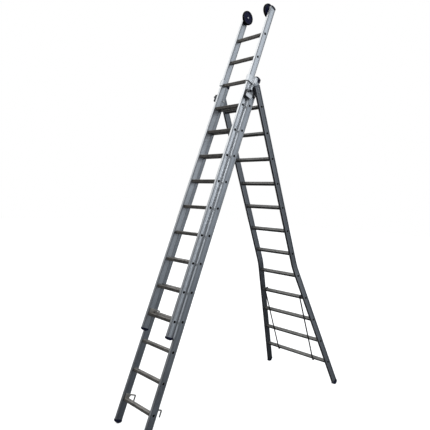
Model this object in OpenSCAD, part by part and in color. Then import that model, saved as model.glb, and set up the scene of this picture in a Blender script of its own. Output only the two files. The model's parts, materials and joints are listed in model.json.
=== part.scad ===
// Three-section combination ladder, standing as an A-frame with the top section run up.
// The middle section leans back from the front, the flared base section leans forward
// from behind and hinges on it, and the top section slides on the middle one's front.
// Each section is drawn in its own frame: X across, -Y towards its front, Z up along
// the stiles, with Z = 0 at the axis of its lowest rung. All sizes are millimetres.

/* [Stance] */
// Lean of the middle and top sections from upright, in degrees
front_lean = 20; // [15:0.5:24]
// Lean of the base section from upright, in degrees
rear_lean = 22.5; // [18:0.5:25]
// Whole rungs that the top section is run up by
raised_rungs = 3; // [0:1:6]

/* [Sections] */
// Rungs in each section
rung_count = 12; // [8:1:12]
// Distance from rung to rung
rung_pitch = 250; // [230:5:280]
// Outside width of the top section
top_width = 364; // [350:2:370]
// How much wider each section is than the one that nests in it
width_step = 60; // [58:1:66]
// Distance from one section's rung plane to the next one's
section_step = 57; // [56:1:62]
// How far a raised section hangs below rung level on its hooks
hook_drop = 16; // [14:1:18]

/* [Stiles] */
// Thickness of a stile across the ladder
stile_thick = 25; // [24:1:27]
// Depth of a stile, front to back
stile_deep = 66; // [60:2:70]
// Height of the raised flange along each edge
flange_band = 9; // [8:1:11]
// Depth of the web below the flanges, on the outer side
outer_recess = 4; // [3:0.5:5]
// Depth of the web below the flanges, on the inner side
inner_recess = 2.5; // [1:0.5:3]
// Wall thickness of the stile extrusion
stile_wall = 1.5; // [1.2:0.1:2.5]
// Stile above the top rung, on the top section
top_overhang = 283; // [270:1:300]
// Stile above the top rung, on the middle section
middle_overhang = 278; // [270:1:285]
// Stile above the top rung, on the base section
base_overhang = 190; // [180:1:195]

/* [Flare] */
// Distance from the base section's top rung down to the bend in its stiles
flare_start = 1654; // [1600:2:1700]
// Angle by which the lower stiles turn outwards, in degrees
flare_angle = 9.25; // [5:0.25:11]
// Radius of the bend
bend_radius = 600; // [400:50:700]

/* [Rungs] */
// Depth of a rung's tread, front to back
rung_deep = 34; // [30:1:35]
// Height of a rung
rung_high = 28; // [26:1:30]
// Lean at which the treads are level, in degrees
tread_lean = 20; // [15:1:22]
// Wall thickness of the rung
rung_wall = 1.4; // [1.2:0.1:2]
// Grip ribs on each face
rib_count = 5; // [3:1:6]
// Radius of the round neck that passes through the stile
neck_radius = 9; // [8:0.5:10]

/* [Feet and caps] */
// Distance from the middle section's lowest rung down to the floor, along the stile
foot_reach = 201.5; // [190:0.5:215]
// Radius of the rounded sole
sole_radius = 38; // [37:1:42]
// Depth of the flat that stands on the floor
sole_flat = 1.5; // [0.5:0.5:3]
// Height of the domed top caps
cap_rise = 16; // [10:1:18]

/* [Wall rollers] */
// Radius of a wall roller
roller_radius = 68; // [50:1:70]
// Height of the roller axle above the top rung
axle_height = 259; // [250:1:265]
// Radius of the roller axle
axle_radius = 5; // [4:0.5:6]

/* [Hinge] */
// Height of the hinge pin above the middle section's top rung
hinge_over_middle = 106; // [100:1:112]
// Height of the hinge pin above the base section's top rung
hinge_over_base = 109; // [104:1:115]
// Distance from the middle section's rung plane back to the hinge pin
hinge_behind = 13; // [12:1:13]
// Radius of the hinge pin
pin_radius = 6; // [5:0.5:7]

/* [Hidden] */
$fn = 48;
part_count = [for (i = [1:rung_count]) str(i < 10 ? "0" : "", i)];
top_rungs = [for (n = part_count) str("top_rung_", n)];
middle_rungs = [for (n = part_count) str("middle_rung_", n)];
base_rungs = [for (n = part_count) str("base_rung_", n)];

silver = [0.78, 0.8, 0.83];
warm_grey = [0.5, 0.48, 0.46];
navy = [0.06, 0.07, 0.2];
dark_steel = [0.22, 0.22, 0.23];
bright_steel = [0.75, 0.75, 0.74];

slack = 0.1;                  // clearance of a fixed piece in its hole or socket
running = 0.06;               // radial clearance of a turning fit
past = 1;                     // how far a cutter runs past the face it cuts

middle_width = top_width + width_step;
base_width = middle_width + width_step;
top_rung_z = (rung_count - 1) * rung_pitch;
top_section_z = raised_rungs * rung_pitch - hook_drop;

// Hinge pin in the standing ladder: the floor meets the stiles' axes at the feet.
hinge_before = section_step - hinge_behind;
front_leg = hinge_over_middle + top_rung_z + foot_reach;
pin_z = front_leg * cos(front_lean) - hinge_behind * sin(front_lean);
rear_leg = (pin_z + hinge_before * sin(rear_lean)) / cos(rear_lean);
base_reach = rear_leg - hinge_over_base - top_rung_z;
front_foot_y = -hinge_behind * cos(front_lean) - front_leg * sin(front_lean);
rear_foot_y = hinge_before * cos(rear_lean) + rear_leg * sin(rear_lean);
pin_y = -(front_foot_y + rear_foot_y) / 2;

flange_round = 4;             // radius of the flanges' edges
seam = 0.01;                  // the flared leg's wall lies this far inside the bend's,
seam_run = 1;                 // over this length, so that the two make one solid

// Feet: a boot of cap_skin round the stile's end, rounded below.
cap_skin = 1.6;
cap_skirt = 5;
cap_round = 4;                // corner radius of a boot or cap, seen along the stile
sole_lift = sole_radius - sole_flat;
boot_gap = 26;                // from the floor point up to the stile's end
top_sole_radius = 50;         // of the raised section's shallower boots
top_boot_gap = 18;
boot_spare = 20;              // drawn below the sole and cut off by the floor
cap_edge = 6;                 // height of a domed cap at its front and rear
cap_drop = 26;                // of the middle cap's skirt, down the stile's rear half
plug_long = 30;
plug_top = 18;                // plug of the base section's flat caps, clear of the rivets
flat_cap = 3;
top_foot_reach = 150;         // the raised section's stiles end well above the floor

// Flare of the base stiles, on the stile's centre line.
base_stile_x = base_width / 2 - stile_thick / 2;
flare_z = top_rung_z - flare_start;
bend_run = bend_radius * tan(flare_angle / 2);
bend_end = [base_stile_x + bend_radius * (1 - cos(flare_angle)),
            flare_z + bend_run - bend_radius * sin(flare_angle)];
flared_to_floor = (bend_end[1] + base_reach) / cos(flare_angle);
flared_length = flared_to_floor - boot_gap;
function base_axis_x(z) = z > flare_z ? base_stile_x : base_stile_x + (flare_z - z) * tan(flare_angle);

// Rungs
neck_lip = 2.6;               // how far the flared end stands out round the neck
neck_lip_thick = 1.4;
rung_round = 4;               // corner radius of a rung
rung_reach = rung_deep / 2 * cos(tread_lean) + rung_high / 2 * sin(tread_lean);  // forward
rung_rise = rung_high / 2 * cos(tread_lean) + rung_deep / 2 * sin(tread_lean);   // upward
rung_end_wall = 2;

// Hooks: a plate round the lowest rung's neck, a bar over the rung behind, a tip
hook_thick = 5;
hook_half = 17;
hook_below = 15;
hook_under = rung_rise + hook_drop + 0.5;
hook_bar = 12;
hook_out = 92;
hook_tip = 12;
hook_low = -15;
hook_gusset = 6;              // the gusset ends this far behind the stile

// Wall rollers
arm_in = 11;                  // the bracket's arm stands this far in from the web
eye_radius = 17;              // of the arm round the axle
arm_long = 62;                // from the axle down to the middle of the arm's tip
arm_tip = 8;
arm_lead = 2;                 // the tip lies this far behind the axle
bridge_thick = 4;             // joins the arm to the end cap
roller_y = -7;
roller_gap = 0.6;
hub_radius = 17;
hub_long = 20;
rim_thick = 22;
rim_deep = 13;
rim_round = 6;
rim_in = 2;                   // from the hub's outer end to the rim
disc_thick = 7;
bolt_radius = 8;              // of the axle's head and nut
head_thick = 3;
nut_thick = 5;

// Guide straps, given in the middle section's frame
strap_thick = 2.2;
strap_low = top_rung_z + 215;
strap_high = top_rung_z + 276;
strap_gap = 4;                // beside the top section's stile
strap_clear = 5;              // in front of it
step_clear = 1;               // before the middle section's stile
leg_back = -5;                // rear edge of the leg riveted to the stile
lip_gap = 2.2;                // inside the top section's stile
lip_long = 12;
step_ribs = 6;
step_rib_radius = 1.6;
neck_wide = 18;               // of the strip that joins strap and cheek
neck_front = -30;
cheek_low = top_rung_z + 58;
cheek_high = top_rung_z + 130;
cheek_front = -86;
cheek_back = -10;
knob_at = [-66, top_rung_z + 112];
knob_radius = 12.5;
knob_out = 21;
block_gap = 2;                // beside the top section's stile, and inside the cheek's edges
groove_deep = 1.5;
groove_wide = 4;
block_grooves = 3;

// Rivets
rivet_radius = 4;
rivet_z = [21, 56];           // above the pin, on the base stile's centre line
strap_rivets = [[-17, cheek_low + 12], [-17, cheek_high - 10],
                [-12, strap_low + 14], [-12, strap_high - 12]];

// Hinge bolts and plates
bolt_head = [10, 5];          // radius and thickness inside the middle stile
nut_size = [9, 6.2];
washer_radius = 9.5;
hinge_play = 0.3;             // between the plate and what stands beside it
plate_thick = 2.5;
plate_boss = 16;
plate_outline = [[-12, 10], [14, -8], [hinge_before + 14, 4],
                 [hinge_before + 14, 72], [hinge_before - 16, 72]];   // [y, z] from the pin
tab_in = middle_width / 2 - 20;
tab_z = [18, 54];             // along the middle stile's back, from the pin

// Braces of the base section
braced_rungs = 4;
brace_x = 235;
brace_wide = 16;
brace_thick = 3;
brace_hook = 14;

// ---- Frames -------------------------------------------------------------------------

module middle_frame()
    translate([0, pin_y, pin_z]) rotate([-front_lean, 0, 0])
        translate([0, -hinge_behind, -(top_rung_z + hinge_over_middle)]) children();

module top_frame()
    middle_frame() translate([0, -section_step, top_section_z]) children();

module base_frame()
    translate([0, pin_y, pin_z]) rotate([rear_lean, 0, 0])
        translate([0, hinge_before, -(top_rung_z + hinge_over_base)]) children();

module both_sides() {
    children();
    mirror([1, 0, 0]) children();
}

// A straight run along X from x0 to x1
module bar_x(x0, x1, radius)
    translate([x0, 0, 0]) rotate([0, 90, 0]) cylinder(h = x1 - x0, r = radius);

// A plate of the YZ outline given as children, from x0 to x1
module plate_x(x0, x1)
    translate([x0, 0, 0]) rotate([90, 0, 90]) linear_extrude(x1 - x0) children();

// ---- Stiles -------------------------------------------------------------------------

module rounded_bar(w, h, r) {
    square([w - 2 * r, h], center = true);
    square([w, h - 2 * r], center = true);
    for (x = [-1, 1], y = [-1, 1])
        translate([x * (w / 2 - r), y * (h / 2 - r)]) circle(r);
}

// Outline of the extrusion moved in by inset; +X is the ladder's outer side
module stile_outline(inset) {
    web_low = -stile_thick / 2 + inner_recess + inset;
    web_high = stile_thick / 2 - outer_recess - inset;
    translate([web_low, -stile_deep / 2 + inset])
        square([web_high - web_low, stile_deep - 2 * inset]);
    for (y = [-1, 1])
        translate([0, y * (stile_deep - flange_band) / 2])
            rounded_bar(stile_thick - 2 * inset, flange_band - 2 * inset, flange_round - inset);
}

module stile_profile(thinner = 0)
    difference() {
        stile_outline(thinner);
        stile_outline(stile_wall - thinner);
    }

module rung_holes(width)
    for (i = [0:rung_count - 1])
        translate([0, 0, i * rung_pitch]) bar_x(0, width, neck_radius + slack);

module straight_stile(width, below, above)
    difference() {
        translate([width / 2 - stile_thick / 2, 0, -below])
            linear_extrude(below + top_rung_z + above) stile_profile();
        rung_holes(width);
    }

module top_stile()
    color(silver) top_frame() difference() {
        straight_stile(top_width, top_foot_reach - top_boot_gap, top_overhang);
        translate([0, roller_y, top_rung_z + axle_height]) bar_x(0, top_width, axle_radius + slack);
    }

module middle_stile()
    color(silver) middle_frame() difference() {
        straight_stile(middle_width, foot_reach - boot_gap, middle_overhang);
        translate([0, hinge_behind, top_rung_z + hinge_over_middle])
            bar_x(0, middle_width, pin_radius + slack);
        for (at = strap_rivets)
            translate([middle_width / 2 - outer_recess - stile_wall - past, at[0], at[1]])
                bar_x(0, stile_thick, rivet_radius + slack);
    }

module base_stile()
    color(silver) base_frame() difference() {
        union() {
            translate([base_stile_x, 0, flare_z + bend_run])
                linear_extrude(flare_start + base_overhang - bend_run) stile_profile();
            translate([base_stile_x + bend_radius, 0, flare_z + bend_run])
                rotate([90, 0, 0]) rotate([0, 0, 180])
                    rotate_extrude(angle = flare_angle, $fn = 96)
                        translate([bend_radius, 0]) mirror([1, 0]) stile_profile();
            translate([bend_end[0], 0, bend_end[1]]) rotate([0, -flare_angle, 0])
                translate([0, 0, -flared_length])
                    linear_extrude(flared_length + seam_run) stile_profile(seam);
        }
        rung_holes(base_width * 2);
        for (z = rivet_z)
            translate([0, 0, top_rung_z + hinge_over_base + z])
                bar_x(base_width / 2 - stile_thick - past, base_width, rivet_radius + slack);
    }

// ---- Rungs --------------------------------------------------------------------------

// Channels between the grip ribs of one face
module rung_channels(face, away) {
    rib_step = (face - 2 * rung_round) / rib_count;
    channel_wide = rib_step * 0.4;
    channel_deep = rung_wall / 2;
    for (i = [1:rib_count - 1])
        translate([i * rib_step - channel_wide / 2 + rung_round - face / 2, away / 2 - channel_deep])
            square([channel_wide, channel_deep + past]);
}

// Rung turned so that its tread is level when the ladder leans by tread_lean
module rung_outline()
    rotate(tread_lean) difference() {
        rounded_bar(rung_deep, rung_high, rung_round);
        for (turn = [0, 180]) {
            rotate(turn) rung_channels(rung_deep, rung_high);
            rotate(turn + 90) rung_channels(rung_high, rung_deep);
        }
    }

// One rung: body between the stiles, round necks through them, ends flared over outside.
// shoulder is the half length of the body, outside the half span to the outer web, and
// tilt the angle of the stile there.
module rung(shoulder, outside, tilt = 0) {
    bore = neck_radius - rung_wall;
    hollow = shoulder - rung_end_wall;
    color(warm_grey) difference() {
        union() {
            plate_x(-shoulder, shoulder) rung_outline();
            bar_x(-outside - 1, outside + 1, neck_radius);
            both_sides() translate([outside, 0, 0]) rotate([0, -tilt, 0])
                bar_x(0, neck_lip_thick, neck_radius + neck_lip);
        }
        plate_x(-hollow, hollow) rotate(tread_lean)
            rounded_bar(rung_deep - 3 * rung_wall, rung_high - 3 * rung_wall, rung_round - past);
        bar_x(-outside * 2, outside * 2, bore);
    }
}

// Half length of a rung's body and half span to the outer web in a straight section
function web_inside(width) = width / 2 - stile_thick + inner_recess;
function web_outside(width) = width / 2 - outer_recess;
function hooked_inside(width) = width / 2 - stile_thick - hook_thick;

module section_rung(width, i)
    translate([0, 0, i * rung_pitch])
        rung(i == 0 ? hooked_inside(width) : web_inside(width), web_outside(width));

module base_rung(i) {
    z = i * rung_pitch;
    tilt = z < flare_z ? flare_angle : 0;
    half_thick = stile_thick / 2 / cos(tilt);
    lost = rung_rise * tan(tilt);
    base_frame() translate([0, 0, z])
        rung(base_axis_x(z) - half_thick + inner_recess - lost,
             base_axis_x(z) + half_thick - outer_recess / cos(tilt), tilt);
}

// ---- Feet and caps ------------------------------------------------------------------

// Plastic round a stile's end, with a plug inside it. The stile ends at z = 0 and the
// boot goes down from there, as far as the drum given as children, set at centre_z.
module boot(centre_z, radius = sole_radius) {
    depth = boot_gap + boot_spare;
    intersection() {
        difference() {
            translate([0, 0, -depth]) linear_extrude(depth + cap_skirt) cap_outline();
            linear_extrude(cap_skirt + past)
                rounded_bar(stile_thick + 2 * slack, stile_deep + 2 * slack, cap_round - cap_skin);
        }
        union() {
            translate([0, 0, centre_z]) children();
            translate([-stile_deep, -stile_deep, centre_z])
                cube([2 * stile_deep, 2 * stile_deep, radius + cap_skirt]);
        }
    }
    linear_extrude(plug_long) stile_outline(stile_wall + slack);
}

module cap_outline()
    rounded_bar(stile_thick + 2 * cap_skin, stile_deep + 2 * cap_skin, cap_round);

module drum(radius)
    translate([-stile_deep, 0, 0]) bar_x(0, 2 * stile_deep, radius);

module below_floor()
    translate([-base_width, -1500, -200]) cube([2 * base_width, 3000, 200]);

// Distance along a stile from the floor point up to the sole's centre
function sole_centre(lean, flare) = sole_lift / cos(lean) / cos(flare);

module middle_feet() {
    centre = sole_centre(front_lean, 0);
    color(navy) difference() {
        middle_frame() both_sides()
            translate([middle_width / 2 - stile_thick / 2, 0, boot_gap - foot_reach])
                boot(centre - boot_gap) drum(sole_radius);
        below_floor();
    }
}

module top_feet()
    color(navy) top_frame() both_sides()
        translate([top_width / 2 - stile_thick / 2, 0, top_boot_gap - top_foot_reach])
            boot(top_sole_radius - top_boot_gap, top_sole_radius) drum(top_sole_radius);

module base_feet() {
    centre = sole_centre(rear_lean, flare_angle);
    color(navy) difference() {
        base_frame() both_sides()
            translate([bend_end[0], 0, bend_end[1]]) rotate([0, -flare_angle, 0])
                translate([0, 0, -flared_length])
                    boot(centre - boot_gap) rotate([0, flare_angle, 0]) drum(sole_radius);
        below_floor();
    }
}

// Domed cap on a stile's upper end, which is at z = 0
module top_cap() {
    half = stile_deep / 2 + cap_skin;
    crown = cap_rise - cap_edge;
    dome = (half * half + crown * crown) / (2 * crown);
    intersection() {
        linear_extrude(cap_rise) cap_outline();
        translate([0, 0, cap_rise - dome]) drum(dome);
    }
    translate([0, 0, -plug_long]) linear_extrude(plug_long) stile_outline(stile_wall + slack);
}

// The middle section's cap has a skirt round the stile behind the strap's leg
module middle_cap() {
    top_cap();
    translate([0, 0, -cap_drop]) linear_extrude(cap_drop) difference() {
        cap_outline();
        stile_outline(-slack);
        translate([-stile_thick, -stile_deep])
            square([2 * stile_thick, stile_deep + leg_back + step_clear]);
    }
}

module middle_caps()
    color(navy) middle_frame() both_sides()
        translate([middle_width / 2 - stile_thick / 2, 0, top_rung_z + middle_overhang]) middle_cap();

module base_caps()
    color(navy) base_frame() both_sides()
        translate([base_stile_x, 0, top_rung_z + base_overhang - plug_top])
            linear_extrude(plug_top + flat_cap) stile_outline(stile_wall + slack);

// ---- Wall rollers -------------------------------------------------------------------

top_web_inside = web_inside(top_width);
arm_face = top_web_inside - arm_in;

// Arm from the eye round the axle at the origin down to a rounded tip
module arm_outline() {
    circle(eye_radius);
    polygon([[-eye_radius, 0], [eye_radius, 0],
             [arm_lead + arm_tip, -arm_long], [arm_lead - arm_tip, -arm_long]]);
    translate([arm_lead, -arm_long]) circle(arm_tip);
}

// End cap and roller arm in one moulding, with a bridge between them
module roller_bracket() {
    stile_x = top_width / 2 - stile_thick / 2;
    stile_top = top_rung_z + top_overhang;
    axle_z = top_rung_z + axle_height;
    bridge_y = roller_y - eye_radius + 2;
    bridge_wide = 2 * eye_radius - 2;
    difference() {
        union() {
            translate([stile_x, 0, stile_top]) top_cap();
            plate_x(arm_face, top_web_inside) {
                translate([roller_y, axle_z]) arm_outline();
                translate([bridge_y, axle_z]) square([bridge_wide, stile_top + bridge_thick - axle_z]);
            }
            translate([arm_face, bridge_y, stile_top + slack])
                cube([stile_x - arm_face, bridge_wide, bridge_thick]);
        }
        translate([0, roller_y, axle_z]) bar_x(0, top_width, axle_radius + slack);
    }
}

module roller_brackets()
    color(navy) top_frame() both_sides() roller_bracket();

roller_face = arm_face - roller_gap;
hub_end = roller_face - hub_long;

module roller_axle() {
    bar_x(hub_end - roller_gap, web_outside(top_width), axle_radius);
    bar_x(web_outside(top_width), web_outside(top_width) + head_thick, bolt_radius);
    bar_x(hub_end - roller_gap - nut_thick, hub_end - roller_gap, bolt_radius);
}

module roller_axles()
    color(bright_steel) top_frame() both_sides()
        translate([0, roller_y, top_rung_z + axle_height]) roller_axle();

// Wheel with a broad rounded rim, drawn round Z with its hub's outer end at z = 0
module roller() {
    rim_at = [roller_radius - rim_deep / 2, rim_in + rim_thick / 2];
    rotate_extrude($fn = 96) {
        translate([axle_radius + running, 0]) square([hub_radius - axle_radius - running, hub_long]);
        translate([hub_radius - past, rim_at[1] - disc_thick / 2])
            square([rim_at[0] - hub_radius + past, disc_thick]);
        translate(rim_at) rounded_bar(rim_deep, rim_thick, rim_round);
    }
}

module roller_wheel()
    top_frame() translate([roller_face, roller_y, top_rung_z + axle_height]) rotate([0, -90, 0]) roller();

// ---- Hooks --------------------------------------------------------------------------

// Steel hook held by the lowest rung's neck, against the stile's inner side
module hook(width) {
    inside = width / 2 - stile_thick;
    tip_end = hook_low + hook_tip / 2;
    difference() {
        plate_x(inside - hook_thick, inside) {
            translate([-hook_half, -hook_below]) square([2 * hook_half, hook_below + hook_under + hook_bar]);
            translate([0, hook_under]) square([hook_out - hook_tip, hook_bar]);
            translate([hook_out - hook_tip, hook_under]) circle(hook_tip);
            translate([hook_out - hook_tip, tip_end]) square([hook_tip, hook_under - tip_end]);
            translate([hook_out - hook_tip / 2, tip_end]) circle(hook_tip / 2);
            polygon([[hook_half, 0], [hook_half, hook_under], [stile_deep / 2 + hook_gusset, hook_under]]);
        }
        plate_x(inside - hook_thick - past, inside + past)
            translate([hook_out - 2 * hook_tip, hook_low - past])
                square([hook_tip, hook_under - hook_low + past]);
        bar_x(0, width, neck_radius + slack);
    }
}

module top_hooks()
    color(warm_grey) top_frame() both_sides() hook(top_width);

module middle_hooks()
    color(warm_grey) middle_frame() both_sides() hook(middle_width);

// ---- Guides for the top section -----------------------------------------------------

// Bent strap: round the top section's stile above, and a flat cheek for the block below
module guide_strap() {
    outer = middle_width / 2;
    side = top_width / 2 + strap_gap;
    lip = top_width / 2 - stile_thick - lip_gap;
    front = -section_step - stile_deep / 2 - strap_clear;
    step_y = -stile_deep / 2 - step_clear;
    tall = strap_high - strap_low;
    translate([0, 0, strap_low]) linear_extrude(tall) {
        translate([lip - strap_thick, front]) square([strap_thick, lip_long]);
        translate([lip - strap_thick, front - strap_thick])
            square([side + 2 * strap_thick - lip, strap_thick]);
        translate([side, front]) square([strap_thick, step_y - front]);
        translate([side, step_y - strap_thick]) square([outer + strap_thick - side, strap_thick]);
        translate([outer, step_y - strap_thick]) square([strap_thick, leg_back - step_y + strap_thick]);
    }
    // Stamped ribs on the step
    for (i = [1:step_ribs])
        translate([side + strap_thick + past, step_y - strap_thick, strap_low + i * tall / (step_ribs + 1)])
            rotate([0, 90, 0]) cylinder(h = outer - side - strap_thick, r = step_rib_radius);
}

module strap_cheek()
    difference() {
        translate([middle_width / 2, 0, 0]) union() {
            translate([0, neck_front, cheek_low])
                cube([strap_thick, neck_wide, strap_low - cheek_low + past]);
            translate([0, cheek_front, cheek_low])
                cube([strap_thick, cheek_back - cheek_front, cheek_high - cheek_low]);
        }
        translate([0, knob_at[0], knob_at[1]]) bar_x(0, middle_width, rivet_radius + slack);
    }

module guide_straps()
    color(bright_steel) middle_frame() both_sides() difference() {
        union() {
            guide_strap();
            strap_cheek();
        }
        for (at = strap_rivets)
            translate([0, at[0], at[1]]) bar_x(0, middle_width, rivet_radius + slack);
    }

// Plastic block that fills the step beside the top section's stile
module guide_block() {
    inside = top_width / 2 + block_gap;
    block_front = cheek_front + block_gap;
    block_deep = -stile_deep / 2 - slack - block_front;
    cheek_tall = cheek_high - cheek_low;
    difference() {
        translate([inside, block_front, cheek_low + block_gap])
            cube([middle_width / 2 - inside, block_deep, cheek_tall - 2 * block_gap]);
        for (i = [1:block_grooves])
            translate([inside - past, block_front - past,
                       cheek_low + i * cheek_tall / (block_grooves + 1) - groove_wide / 2])
                cube([past + groove_deep, block_deep + 2 * past, groove_wide]);
    }
    translate([0, knob_at[0], knob_at[1]]) {
        bar_x(middle_width / 2 - past, middle_width / 2 + strap_thick, rivet_radius);
        bar_x(middle_width / 2 + strap_thick, middle_width / 2 + knob_out, knob_radius);
    }
}

module guide_blocks()
    color(dark_steel) middle_frame() both_sides() guide_block();

module middle_rivets()
    color(silver) middle_frame() both_sides()
        for (at = strap_rivets)
            translate([0, at[0], at[1]]) {
                bar_x(web_outside(middle_width) - stile_wall, middle_width / 2 + strap_thick, rivet_radius);
                bar_x(web_outside(middle_width), middle_width / 2, rivet_radius + 2);
            }

// ---- Hinge --------------------------------------------------------------------------

// Bolt through the middle stile and the plate: head inside, nut outside, and a washer in
// the web's recess that keeps the plate off the stile
module hinge_bolt() {
    inner = web_inside(middle_width);
    plate_out = base_width / 2 - stile_thick;
    bar_x(inner - bolt_head[1], inner, bolt_head[0]);
    bar_x(inner, plate_out + hinge_play + nut_size[1], pin_radius);
    bar_x(plate_out + hinge_play, plate_out + hinge_play + nut_size[1], nut_size[0]);
    bar_x(web_outside(middle_width), plate_out - plate_thick - hinge_play, washer_radius);
}

module hinge_bolts()
    color(bright_steel) middle_frame() both_sides()
        translate([0, hinge_behind, top_rung_z + hinge_over_middle]) hinge_bolt();

// Plate riveted inside the base stile, with a tab that stops the ladder from spreading:
// the tab bears on the back of the middle stile.
module hinge_plate() {
    outer = base_width / 2 - stile_thick;
    stile_back = stile_deep / 2 - hinge_behind + hinge_play;
    translate([0, -hinge_before, top_rung_z + hinge_over_base]) difference() {
        union() {
            plate_x(outer - plate_thick, outer) {
                circle(plate_boss);
                polygon(plate_outline);
            }
            rotate([-front_lean - rear_lean, 0, 0])
                translate([tab_in, stile_back, tab_z[0]])
                    cube([outer - tab_in, plate_thick, tab_z[1] - tab_z[0]]);
        }
        bar_x(0, base_width, pin_radius + running);
        for (z = rivet_z)
            translate([0, hinge_before, z])
                bar_x(outer - plate_thick - past, base_width, rivet_radius + slack);
    }
}

module hinge_plates()
    color(dark_steel) base_frame() both_sides() hinge_plate();

// Rivets through the plate and the base stile's outer web, with a spacer in the recess
module base_rivets() {
    plate_out = base_width / 2 - stile_thick;
    web_out = web_outside(base_width);
    color(dark_steel) base_frame() both_sides()
        for (z = rivet_z)
            translate([0, 0, top_rung_z + hinge_over_base + z]) {
                bar_x(plate_out - plate_thick, web_out, rivet_radius);
                bar_x(plate_out, plate_out + inner_recess, rivet_radius + 2);
                bar_x(web_out, web_out + 2, rivet_radius + 3);
            }
}

// ---- Braces -------------------------------------------------------------------------

// Flat bar down the front of the base section's lowest four rungs, hooked round both ends
module base_brace() {
    high = (braced_rungs - 1) * rung_pitch;
    front = -rung_reach - brace_thick;
    low = -rung_rise - brace_thick;
    plate_x(brace_x - brace_wide / 2, brace_x + brace_wide / 2) {
        translate([front, low]) square([brace_thick, high - 2 * low]);
        for (z = [low, high + rung_rise])
            translate([front, z]) square([-2 * front, brace_thick]);
        translate([rung_reach, low]) square([brace_thick, brace_hook]);
        translate([rung_reach, high - low - brace_hook]) square([brace_thick, brace_hook]);
    }
}

module base_braces()
    color(dark_steel) base_frame() both_sides() base_brace();

// ---- The ladder ---------------------------------------------------------------------

mirror([1, 0, 0]) top_stile();  // top_stile_left
top_stile();  // top_stile_right
mirror([1, 0, 0]) middle_stile();  // middle_stile_left
middle_stile();  // middle_stile_right
mirror([1, 0, 0]) base_stile();  // base_stile_left
base_stile();  // base_stile_right

for (i = [0:rung_count - 1]) {
    top_frame() section_rung(top_width, i);
    middle_frame() section_rung(middle_width, i);
    base_rung(i);
}

top_feet();
middle_feet();
base_feet();
middle_caps();
base_caps();
roller_brackets();
roller_axles();
color(navy) mirror([1, 0, 0]) roller_wheel();  // roller_wheel_left
color(navy) roller_wheel();  // roller_wheel_right
guide_straps();
guide_blocks();
middle_rivets();
top_hooks();
middle_hooks();
hinge_bolts();
hinge_plates();
base_rivets();
base_braces();
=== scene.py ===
"""Looks of a three-section combination ladder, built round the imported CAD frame.

Every length is in metres, in the frame's own axes. Pieces are drawn in the frame of the
ladder section that they belong to (X across, -Y to its front, Z up along the stiles),
which is found from that section's rungs, and are then moved into the row frame.
"""

import json
import math

import bmesh
import bpy
from mathutils import Matrix, Vector


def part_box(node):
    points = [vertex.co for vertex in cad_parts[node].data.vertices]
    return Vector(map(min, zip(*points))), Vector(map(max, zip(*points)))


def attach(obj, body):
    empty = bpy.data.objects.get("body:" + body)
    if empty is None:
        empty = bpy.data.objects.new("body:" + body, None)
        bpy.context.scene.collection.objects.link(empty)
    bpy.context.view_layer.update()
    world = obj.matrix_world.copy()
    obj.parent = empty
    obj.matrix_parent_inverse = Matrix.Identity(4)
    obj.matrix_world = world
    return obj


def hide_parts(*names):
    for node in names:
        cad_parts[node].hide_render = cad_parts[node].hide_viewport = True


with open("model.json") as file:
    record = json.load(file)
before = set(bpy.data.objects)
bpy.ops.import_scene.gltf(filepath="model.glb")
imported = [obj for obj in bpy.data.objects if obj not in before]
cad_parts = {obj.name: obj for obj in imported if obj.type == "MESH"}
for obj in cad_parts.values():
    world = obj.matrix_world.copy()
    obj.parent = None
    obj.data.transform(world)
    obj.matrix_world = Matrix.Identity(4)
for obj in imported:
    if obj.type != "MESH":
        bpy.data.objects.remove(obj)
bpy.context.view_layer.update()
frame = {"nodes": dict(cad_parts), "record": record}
nodes = frame["nodes"]
scene = bpy.context.scene

# ---- Section frames -------------------------------------------------------------------


def centre(node):
    """Middle of a CAD node's box."""
    low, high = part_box(node)
    return (low + high) / 2


def section_matrix(section):
    """Frame of a section: origin at its lowest rung, Z up through its highest rung."""
    low = centre(section + "_rung_01")
    up = (centre(section + "_rung_12") - low).normalized()
    across = Vector((1, 0, 0))
    behind = up.cross(across)
    turn = Matrix((across, behind, up)).transposed()
    return Matrix.Translation(low) @ turn.to_4x4()


SECTIONS = {name: section_matrix(name) for name in ("top", "middle", "base")}
BODY = {"top": "top_section", "middle": "middle_section", "base": "base_section"}
RUNG_PITCH = (centre("top_rung_02") - centre("top_rung_01")).length


def lean(section):
    """Angle of a section from upright, about X."""
    return SECTIONS[section].to_euler().x


SLOTS = {part["node"]: part["material_slot"] for part in frame["record"]["subparts"]}
SECTION_OF = {}
for body, members in frame["record"]["behaviour"]["bodies"].items():
    for member in members:
        SECTION_OF[member] = "top" if body.startswith("roller") else body.split("_")[0]

# ---- Measures taken from the CAD solids -----------------------------------------------

# Points that are nearer to each other than this are one point
WELD = 0.00002


def islands(node):
    """Right-hand solids of a node as lists of points in its section's frame."""
    into = SECTIONS[SECTION_OF[node]].inverted()
    form = bmesh.new()
    form.from_mesh(nodes[node].data)
    bmesh.ops.remove_doubles(form, verts=form.verts, dist=WELD)
    found = []
    unseen = set(form.verts)
    while unseen:
        waiting = [unseen.pop()]
        solid = []
        while waiting:
            vert = waiting.pop()
            solid.append(into @ vert.co)
            for edge in vert.link_edges:
                other = edge.other_vert(vert)
                if other in unseen:
                    unseen.discard(other)
                    waiting.append(other)
        if sum(point.x for point in solid) > 0:
            found.append(solid)
    form.free()
    return found


def span(points):
    """Lowest and highest corner of a list of points."""
    low = Vector([min(point[axis] for point in points) for axis in range(3)])
    high = Vector([max(point[axis] for point in points) for axis in range(3)])
    return low, high


def spans(node):
    """Corners of each right-hand solid of a node, in its section's frame."""
    return [span(points) for points in islands(node)]


def stile_span(section):
    """Corners of a section's right stile, in the section's frame."""
    return spans(section + "_stile_right")[0]


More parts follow.
